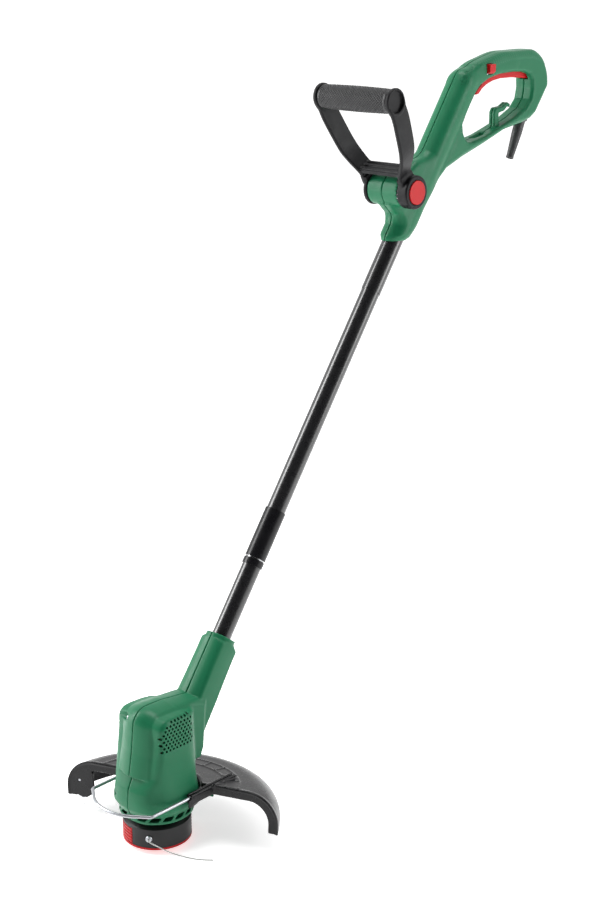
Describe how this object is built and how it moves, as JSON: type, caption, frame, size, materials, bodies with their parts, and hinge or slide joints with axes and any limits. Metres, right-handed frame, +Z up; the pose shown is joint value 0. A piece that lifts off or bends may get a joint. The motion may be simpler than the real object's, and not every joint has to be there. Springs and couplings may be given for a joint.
{
  "type": "electric string trimmer",
  "caption": "Corded string trimmer: green D-handle, tilting front bail, straight black tube, motor head with side guard, sliding wire guard and red line spool.",
  "frame": {"origin": "centre of the tap button's ground face under the line spool, on the motor spindle's axis", "axes": "+Z up along the motor spindle, +X towards the user and the handles, -Y to the user's left"},
  "size_m": [0.8239, 0.2634, 0.892],
  "materials": {
    "green_plastic": "fine satin moulding texture",
    "black_plastic": "satin moulding",
    "gloss_black_plastic": "polished moulding",
    "black_lacquer": "gloss black lacquer on aluminium tube",
    "red_plastic": "polished moulding",
    "steel": "bright drawn steel",
    "copper": "enamelled copper",
    "brass": "plain brass",
    "carbon": "pressed carbon",
    "nylon_line": "translucent extruded nylon",
    "black_rubber": "soft matte"
  },
  "bodies": {
    "frame": {"motor_housing_left": "green_plastic", "motor_housing_right": "green_plastic", "housing_screws": "steel", "stator_core": "steel", "field_windings": "copper", "upper_bearing": "steel", "lower_bearing": "steel", "carbon_brushes": "carbon", "brush_holders": "brass", "guard": "gloss_black_plastic", "guard_screws": "steel", "cutter_blade": "steel", "blade_screw": "steel", "lower_tube": "black_lacquer", "joint_collar": "gloss_black_plastic", "joint_sleeve": "gloss_black_plastic", "joint_spigot": "steel", "middle_tube": "black_lacquer", "upper_tube": "black_lacquer", "handle_left": "green_plastic", "handle_right": "green_plastic", "handle_screws": "steel", "trigger_pin": "steel", "trigger_spring": "steel", "switch_body": "black_plastic", "lock_spring": "steel", "cable_clamp": "black_plastic", "cable_sleeve": "black_rubber", "internal_lead": "black_rubber", "hub_bolt": "steel", "detent_plate": "steel"},
    "spool_head": {"motor_shaft": "steel", "armature_core": "steel", "armature_windings": "copper", "commutator": "copper", "cooling_fan": "black_plastic", "spool_housing": "black_plastic", "line_eyelet": "steel", "spool_cover": "red_plastic", "spool_spring": "steel", "trimmer_line": "nylon_line"},
    "front_tab": {"cover_tab_front": "red_plastic"},
    "rear_tab": {"cover_tab_rear": "red_plastic"},
    "tap_button": {"tap_button": "black_plastic"},
    "line_spool": {"line_spool": "black_plastic", "wound_line": "nylon_line"},
    "guard_wire": {"guard_wire": "steel"},
    "trigger": {"trigger": "red_plastic"},
    "switch_plunger": {"switch_plunger": "red_plastic"},
    "lock_button": {"lock_button": "red_plastic"},
    "front_handle": {"front_bail": "gloss_black_plastic", "front_grip": "black_rubber", "hub_spring": "steel"},
    "hub_button": {"hub_button": "red_plastic"}
  },
  "joints": [
    {"name": "spindle_spin", "type": "hinge", "parent": "frame", "child": "spool_head", "pos_m": [0, 0, 0.02], "axis": [0, 0, 1], "continuous": true},
    {"name": "front_tab_press", "type": "slide", "parent": "spool_head", "child": "front_tab", "axis": [0.9397, -0.342, 0], "range_m": [0, 0.002], "stiffness_N_per_m": 3000, "springref_m": -0.001},
    {"name": "rear_tab_press", "type": "slide", "parent": "spool_head", "child": "rear_tab", "axis": [-0.9397, 0.342, 0], "range_m": [0, 0.002], "stiffness_N_per_m": 3000, "springref_m": -0.001},
    {"name": "tap_feed", "type": "slide", "parent": "spool_head", "child": "tap_button", "axis": [0, 0, 1], "range_m": [0, 0.005], "stiffness_N_per_m": 800, "springref_m": -0.008, "deforming": ["spool_spring"]},
    {"name": "spool_turn", "type": "hinge", "parent": "tap_button", "child": "line_spool", "pos_m": [0, 0, 0.018], "axis": [0, 0, 1], "continuous": true},
    {"name": "guard_wire_slide", "type": "slide", "parent": "frame", "child": "guard_wire", "axis": [-1, 0, 0], "range_m": [0, 0.055]},
    {"name": "trigger_squeeze", "type": "hinge", "parent": "frame", "child": "trigger", "pos_m": [0.712, 0, 0.866], "axis": [0, 1, 0], "range_deg": [0, 3.5], "stiffness_Nm_per_rad": 3, "springref_deg": -5.73, "deforming": ["trigger_spring"]},
    {"name": "switch_press", "type": "slide", "parent": "frame", "child": "switch_plunger", "axis": [0, 0, 1], "range_m": [0, 0.0028]},
    {"name": "lock_press", "type": "slide", "parent": "frame", "child": "lock_button", "axis": [0, 1, 0], "range_m": [0, 0.004], "stiffness_N_per_m": 600, "springref_m": -0.002},
    {"name": "front_handle_tilt", "type": "hinge", "parent": "frame", "child": "front_handle", "pos_m": [0.425, 0, 0.732], "axis": [0, 1, 0], "range_deg": [-60, 15]},
    {"name": "hub_button_press", "type": "slide", "parent": "front_handle", "child": "hub_button", "axis": [0, 1, 0], "range_m": [0, 0.004], "stiffness_N_per_m": 600, "springref_m": -0.002}
  ],
  "couplings": [
    {"joint": "switch_press", "follows": "trigger_squeeze", "m_per_rad": 0.044}
  ]
}
